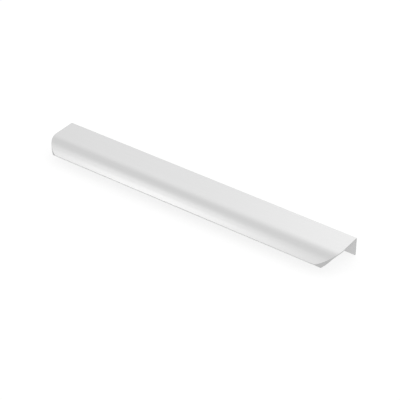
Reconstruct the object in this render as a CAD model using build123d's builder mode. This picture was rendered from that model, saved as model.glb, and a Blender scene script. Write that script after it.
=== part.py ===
"""Edge pull for a door or a drawer front: one extruded aluminium section, cut to length.

The flange lies over the edge of the panel, the leg hangs down behind it and is screwed to its
back, and the lip in front is what the fingers pull. Millimetres. X runs along the pull, -Y is the
front, +Z is up. The origin is at the bottom centre of the whole pull.
"""
from build123d import *
from math import cos, radians, sin, tan
import os

# The pull as a whole
length = 300.0
depth = 41.3             # from the back of the leg to the foremost point of the lip
leg_height = 17.2        # from the foot of the leg to the top of the flange

# The section
wall = 1.0               # flange and leg
lip_slope = 41.6         # degrees below level, outer side of the lip
lip_taper = 8.0          # degrees between the outer and the inner side of the lip
lip_drop = 8.0           # from the top of the flange down to the outer edge of the tip
tip_thickness = 3.9      # across the blunt tip, square to the outer side
outer_bend_radius = 23.8
inner_bend_radius = 12.8
root_radius = 0.8        # inside the corner of flange and leg
edge_radius = 0.3        # on the other edges of the section

# The two front corners, milled round in plan
corner_radius = 21.2
corner_overrun = 0.95    # the corner arc is tangent to a line this far in front of the lip

# Countersunk screw holes in the leg
screw_spacing = 256.0
screw_drop = 9.0         # from the top of the flange to the middle of the holes
screw_hole_radius = 2.0
screw_head_radius = 2.8

# Rounding of the edges round both cut ends
deburr_radius = 0.15

back = depth / 2
front = -depth / 2
top = leg_height
underside = top - wall

# Corners of the section before they are rounded, as (depth, height). The sharp tip stands in front
# of the pull's depth by what its rounding takes off.
slope = radians(lip_slope)
inner_slope = radians(lip_slope + lip_taper)
rounded_off = edge_radius * (cos(slope) + sin(slope) - 1)
foot_back = Vector(back, 0)
top_back = Vector(back, top)
tip_outer = Vector(front - rounded_off, top - lip_drop)
tip_inner = tip_outer + tip_thickness * Vector(sin(slope), -cos(slope))
outer_bend = Vector(tip_outer.X + lip_drop / tan(slope), top)
inner_run = (underside - tip_inner.Y) / tan(inner_slope)
inner_bend = Vector(tip_inner.X + inner_run, underside)
root = Vector(back - wall, underside)
foot_front = Vector(back - wall, 0)

corner_radii = [
    (outer_bend, outer_bend_radius),
    (inner_bend, inner_bend_radius),
    (root, root_radius),
    (foot_back, edge_radius),
    (foot_front, edge_radius),
    (top_back, edge_radius),
    (tip_outer, edge_radius),
    (tip_inner, edge_radius),
]

with BuildPart() as edge_pull:
    # The extruded section
    with BuildSketch(Plane.YZ.offset(-length / 2)) as section:
        with BuildLine():
            Polyline(
                foot_back, top_back, outer_bend, tip_outer,
                tip_inner, inner_bend, root, foot_front,
                close=True,
            )
        make_face()
        for corner, radius in corner_radii:
            fillet(section.vertices().sort_by_distance(corner)[0], radius=radius)
    extrude(amount=length)

    # Both front corners are cut round, straight down
    with BuildSketch(Plane.XY) as outline:
        with Locations((0, back)):
            Rectangle(length, depth + corner_overrun, align=(Align.CENTER, Align.MAX))
        fillet(outline.vertices().group_by(Axis.Y)[0], radius=corner_radius)
    extrude(amount=leg_height, mode=Mode.INTERSECT)

    # The cut edges are broken; the edges along X keep the roundings they were drawn with
    fillet(edge_pull.edges().filter_by(Axis.X, reverse=True), radius=deburr_radius)

    # Screw holes, countersunk from the back
    with Locations(Plane((0, back, top - screw_drop), x_dir=(-1, 0, 0), z_dir=(0, 1, 0))):
        with GridLocations(screw_spacing, 0, 2, 1):
            CounterSinkHole(screw_hole_radius, screw_head_radius, depth=2 * wall, counter_sink_angle=90)

edge_pull.part.label = "edge_pull"

os.makedirs("parts", exist_ok=True)
export_step(edge_pull.part, "parts/edge_pull.step")
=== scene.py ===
"""Looks of an edge pull: satin anodised aluminium, drawn along its length and milled at its ends.

Everything is in metres, in the pull's own frame: X along it, -Y its front, +Z up, with the foot of
the leg on the floor at height 0.
"""
import math

import bpy
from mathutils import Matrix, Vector


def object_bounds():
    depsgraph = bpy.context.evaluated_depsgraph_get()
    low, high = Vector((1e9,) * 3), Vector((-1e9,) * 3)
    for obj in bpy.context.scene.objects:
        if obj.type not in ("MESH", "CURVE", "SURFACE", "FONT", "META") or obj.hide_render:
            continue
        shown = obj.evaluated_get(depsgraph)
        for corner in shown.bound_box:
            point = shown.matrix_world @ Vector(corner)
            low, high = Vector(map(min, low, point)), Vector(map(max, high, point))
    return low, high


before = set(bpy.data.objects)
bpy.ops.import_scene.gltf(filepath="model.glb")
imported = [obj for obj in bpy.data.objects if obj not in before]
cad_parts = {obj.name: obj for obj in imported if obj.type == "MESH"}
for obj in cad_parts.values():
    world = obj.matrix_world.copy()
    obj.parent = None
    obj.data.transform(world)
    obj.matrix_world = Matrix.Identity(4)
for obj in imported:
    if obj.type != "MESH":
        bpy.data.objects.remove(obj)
cad_box = [list(corner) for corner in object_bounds()]

# The camera of the photograph
CAMERA_AIM = Vector((0.0024, 0.0083, 0.0009))
CAMERA_DISTANCE = 1.223
CAMERA_AZIMUTH = 35.79       # degrees to the right of straight in front
CAMERA_ELEVATION = 35.15     # degrees above level
FOCAL_PX = 1423.6            # focal length in pixels of the 400 pixel wide picture
PICTURE_PX = 400
SENSOR_MM = 36.0

# Light, as radiance where 1 is white
WORLD_STRENGTH = 0.8         # for the rays that don't show it as background
LAMP_DISTANCE = 1.5
LAMPS = {
    # name: azimuth and elevation in degrees, width and height in metres, radiance
    "back_softbox": (192.5, 40, 1.97, 1.25, 0.27),
    "right_back_softbox": (145, 43.5, 3.4, 2.22, 0.3),
    "left_softbox": (-61.5, 56.5, 0.37, 0.36, 1.06),
    "front_left_softbox": (-43.2, 44.2, 0.28, 0.3, 3.27),
    "front_right_softbox": (40, 20, 2.0, 0.9, 0.26),
}

# The floor
FLOOR_HALF_WIDTH = 6.0
FLOOR_LEVEL = 0.24           # its own grey
FLOOR_LIFT = 0.8             # what it adds to itself where it shows as background

# The outer bend, tangent to the flange's flat top and to the lip
TOP = cad_box[1][2]
TOP_FLATNESS = 1e-6          # how far the flat top's vertices may lie below TOP
BEND_RADIUS = 0.0238
LIP_SLOPE = 41.6             # degrees below level
FACET_COSINE = 0.999         # of the most that a facet may be turned away from the true bend

# The finish
NOISES = {
    # name: cells to the metre, scale of X, Y and Z, detail
    "drawn_lines": (900, (0.012, 1, 1), 3),
    "clouds": (28, (0.35, 1, 1), 2),
    "milling_marks": (2600, (1, 1, 0.05), 2),
}
DRAWN_GREY = 0.592
DRAWN_GREY_RANGE = 0.03
CUT_GREY = 0.52
CUT_GREY_RANGE = 0.06
DRAWN_ROUGHNESS = 0.295
LINES_ROUGHNESS_RANGE = 0.06
CLOUDS_ROUGHNESS_RANGE = 0.05
CUT_ROUGHNESS = 0.65
RELIEF_STRENGTH = 0.06
RELIEF_DEPTH = 0.0001
CUT_FACE_TURN = 0.02         # a face whose normal has more X than this is a cut one


def direction(azimuth, elevation):
    """Unit vector from the pull. Azimuth 0 is straight in front, 90 to the right, 180 behind."""
    a = math.radians(azimuth)
    e = math.radians(elevation)
    return Vector((math.sin(a) * math.cos(e), -math.cos(a) * math.cos(e), math.sin(e)))


def new_material(name):
    """An empty node material, with its node tree and output."""
    material = bpy.data.materials.new(name)
    material.use_nodes = True
    tree = material.node_tree
    tree.nodes.clear()
    output = tree.nodes.new("ShaderNodeOutputMaterial")
    return material, tree, output


def feed(tree, socket, value):
    """Gives a socket its value, which is another node's output or a constant."""
    if isinstance(value, bpy.types.NodeSocket):
        tree.links.new(value, socket)
    else:
        socket.default_value = value


def math_node(tree, operation, *operands):
    """The result of a Math node. Each operand is a node's output or a number."""
    node = tree.nodes.new("ShaderNodeMath")
    node.operation = operation
    for socket, value in zip(node.inputs, operands):
        feed(tree, socket, value)
    return node.outputs[0]


def mix(tree, data_type, factor, low, high):
    """From low, where factor is 0, to high, where it is 1. data_type is FLOAT or VECTOR."""
    node = tree.nodes.new("ShaderNodeMix")
    node.data_type = data_type
    sockets = {socket.name: socket for socket in node.inputs if socket.enabled}
    feed(tree, sockets["Factor"], factor)
    feed(tree, sockets["A"], low)
    feed(tree, sockets["B"], high)
    return [socket for socket in node.outputs if socket.enabled][0]


def object_place(tree):
    """The place on the pull, in its own coordinates."""
    return tree.nodes.new("ShaderNodeTexCoord").outputs["Object"]


def noise(tree, name):
    """One of the finish's noises, from 0 to 1."""
    cells, scale, detail = NOISES[name]
    mapping = tree.nodes.new("ShaderNodeMapping")
    feed(tree, mapping.inputs["Vector"], object_place(tree))
    feed(tree, mapping.inputs["Scale"], scale)
    texture = tree.nodes.new("ShaderNodeTexNoise")
    feed(tree, texture.inputs["Vector"], mapping.outputs["Vector"])
    feed(tree, texture.inputs["Scale"], cells)
    feed(tree, texture.inputs["Detail"], detail)
    return texture.outputs["Fac"]


def grey(tree, value):
    """A grey colour of that level."""
    node = tree.nodes.new("ShaderNodeCombineColor")
    for socket in node.inputs:
        feed(tree, socket, value)
    return node.outputs["Color"]


def cut_face_mask(tree):
    """1 on the cut ends and in the holes, 0 on the drawn faces, whose normals have no X."""
    geometry = tree.nodes.new("ShaderNodeNewGeometry")
    parts = tree.nodes.new("ShaderNodeSeparateXYZ")
    feed(tree, parts.inputs["Vector"], geometry.outputs["True Normal"])
    sideways = math_node(tree, "ABSOLUTE", parts.outputs["X"])
    return math_node(tree, "GREATER_THAN", sideways, CUT_FACE_TURN)


def front_of_flat_top(mesh):
    """Y of the front edge of the flange's flat top, where the outer bend starts."""
    return min(vertex.co.y for vertex in mesh.vertices if TOP - vertex.co.z < TOP_FLATNESS)


def bend_normal(tree, bend_start):
    """The flange's normal behind bend_start, in front of it the round bend's, then the lip's."""
    parts = tree.nodes.new("ShaderNodeSeparateXYZ")
    feed(tree, parts.inputs["Vector"], object_place(tree))
    forward = math_node(tree, "SUBTRACT", bend_start, parts.outputs["Y"])
    upward = math_node(tree, "SUBTRACT", parts.outputs["Z"], TOP - BEND_RADIUS)
    angle = math_node(tree, "ARCTAN2", forward, upward)
    angle = math_node(tree, "MAXIMUM", angle, 0.0)
    angle = math_node(tree, "MINIMUM", angle, math.radians(LIP_SLOPE))

    normal = tree.nodes.new("ShaderNodeCombineXYZ")
    sine = math_node(tree, "SINE", angle)
    feed(tree, normal.inputs["Y"], math_node(tree, "MULTIPLY", sine, -1.0))
    feed(tree, normal.inputs["Z"], math_node(tree, "COSINE", angle))

    turned = tree.nodes.new("ShaderNodeVectorTransform")
    turned.vector_type = "NORMAL"
    turned.convert_from = "OBJECT"
    turned.convert_to = "WORLD"
    feed(tree, turned.inputs["Vector"], normal.outputs["Vector"])
    return turned.outputs["Vector"]


def surface_normal(tree, bend_start):
    """The mesh's normal, but on the outside of flange, bend and lip that of the true bend."""
    geometry = tree.nodes.new("ShaderNodeNewGeometry")
    bend = bend_normal(tree, bend_start)
    likeness = tree.nodes.new("ShaderNodeVectorMath")
    likeness.operation = "DOT_PRODUCT"
    feed(tree, likeness.inputs[0], bend)
    feed(tree, likeness.inputs[1], geometry.outputs["True Normal"])
    outside = math_node(tree, "GREATER_THAN", likeness.outputs["Value"], FACET_COSINE)
    return mix(tree, "VECTOR", outside, geometry.outputs["Normal"], bend)


def anodised_aluminium(bend_start):
    """Satin metal: fine lines along X on the drawn faces, milling marks across the cut ones."""
    material, tree, output = new_material("satin_anodised_aluminium")
    cut = cut_face_mask(tree)
    lines = noise(tree, "drawn_lines")
    clouds = noise(tree, "clouds")
    marks = noise(tree, "milling_marks")

    drawn_grey = math_node(tree, "MULTIPLY_ADD", lines, DRAWN_GREY_RANGE, DRAWN_GREY)
    cut_grey = math_node(tree, "MULTIPLY_ADD", marks, CUT_GREY_RANGE, CUT_GREY)
    level = mix(tree, "FLOAT", cut, drawn_grey, cut_grey)

    lined = math_node(tree, "MULTIPLY_ADD", lines, LINES_ROUGHNESS_RANGE, DRAWN_ROUGHNESS)
    drawn_roughness = math_node(tree, "MULTIPLY_ADD", clouds, CLOUDS_ROUGHNESS_RANGE, lined)
    roughness = mix(tree, "FLOAT", cut, drawn_roughness, CUT_ROUGHNESS)

    relief = tree.nodes.new("ShaderNodeBump")
    feed(tree, relief.inputs["Strength"], RELIEF_STRENGTH)
    feed(tree, relief.inputs["Distance"], RELIEF_DEPTH)
    feed(tree, relief.inputs["Height"], mix(tree, "FLOAT", cut, lines, marks))
    feed(tree, relief.inputs["Normal"], surface_normal(tree, bend_start))

    metal = tree.nodes.new("ShaderNodeBsdfPrincipled")
    feed(tree, metal.inputs["Metallic"], 1.0)
    feed(tree, metal.inputs["Base Color"], grey(tree, level))
    feed(tree, metal.inputs["Roughness"], roughness)
    feed(tree, metal.inputs["Normal"], relief.outputs["Normal"])
    feed(tree, output.inputs["Surface"], metal.outputs["BSDF"])
    return material


def shown_as_background(tree):
    """1 for a camera, glossy or transmission ray, which shows the background, 0 for the others."""
    path = tree.nodes.new("ShaderNodeLightPath")
    shown = math_node(tree, "MAXIMUM", path.outputs["Is Camera Ray"], path.outputs["Is Glossy Ray"])
    return math_node(tree, "MAXIMUM", shown, path.outputs["Is Transmission Ray"])


def floor_material():
    """A white floor that keeps the shadow. Where it shows as background it is lifted to white."""
    material, tree, output = new_material("white_floor")
    diffuse = tree.nodes.new("ShaderNodeBsdfDiffuse")
    feed(tree, diffuse.inputs["Color"], (FLOOR_LEVEL, FLOOR_LEVEL, FLOOR_LEVEL, 1))

    lift = tree.nodes.new("ShaderNodeEmission")
    strength = math_node(tree, "MULTIPLY", shown_as_background(tree), FLOOR_LIFT)
    feed(tree, lift.inputs["Strength"], strength)

    both = tree.nodes.new("ShaderNodeAddShader")
    feed(tree, both.inputs[0], diffuse.outputs["BSDF"])
    feed(tree, both.inputs[1], lift.outputs["Emission"])
    feed(tree, output.inputs["Surface"], both.outputs["Shader"])
    return material


def add_floor():
    """A level floor under the foot of the leg, far wider than the view."""
    half = FLOOR_HALF_WIDTH
    mesh = bpy.data.meshes.new("floor")
    corners = [(-half, -half, 0), (half, -half, 0), (half, half, 0), (-half, half, 0)]
    mesh.from_pydata(corners, [], [(0, 1, 2, 3)])
    mesh.materials.append(floor_material())
    floor = bpy.data.objects.new("floor", mesh)
    bpy.context.scene.collection.objects.link(floor)


def add_world():
    """Even studio light from all round, white where it shows as background."""
    world = bpy.data.worlds.new("studio")
    bpy.context.scene.world = world
    world.use_nodes = True
    tree = world.node_tree
    background = tree.nodes["Background"]
    feed(tree, background.inputs["Color"], (1, 1, 1, 1))
    strength = mix(tree, "FLOAT", shown_as_background(tree), WORLD_STRENGTH, 1.0)
    feed(tree, background.inputs["Strength"], strength)


def add_soft_light(name, azimuth, elevation, distance, width, height, radiance):
    """An oval lamp of that radiance, facing the pull. Its energy is pi times radiance times area."""
    lamp = bpy.data.lights.new(name, "AREA")
    lamp.shape = "ELLIPSE"
    lamp.size = width
    lamp.size_y = height
    area = math.pi * width * height / 4
    lamp.energy = radiance * math.pi * area
    holder = bpy.data.objects.new(name, lamp)
    towards = direction(azimuth, elevation)
    holder.location = towards * distance
    holder.rotation_euler = towards.to_track_quat("Z", "Y").to_euler()
    bpy.context.scene.collection.objects.link(holder)


def add_camera():
    """The photograph's view: its angle, its distance and its focal length."""
    data = bpy.data.cameras.new("camera")
    data.sensor_width = SENSOR_MM
    data.lens = FOCAL_PX * SENSOR_MM / PICTURE_PX
    camera = bpy.data.objects.new("camera", data)
    towards = direction(CAMERA_AZIMUTH, CAMERA_ELEVATION)
    camera.location = CAMERA_AIM + towards * CAMERA_DISTANCE
    camera.rotation_euler = towards.to_track_quat("Z", "Y").to_euler()
    bpy.context.scene.collection.objects.link(camera)
    bpy.context.scene.camera = camera


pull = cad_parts["edge_pull"]
pull.data.materials[0] = anodised_aluminium(bend_start=front_of_flat_top(pull.data))

add_floor()
add_world()
for name, (azimuth, elevation, width, height, radiance) in LAMPS.items():
    add_soft_light(name, azimuth, elevation, LAMP_DISTANCE, width, height, radiance)
add_camera()

bpy.context.scene.view_settings.view_transform = "Standard"
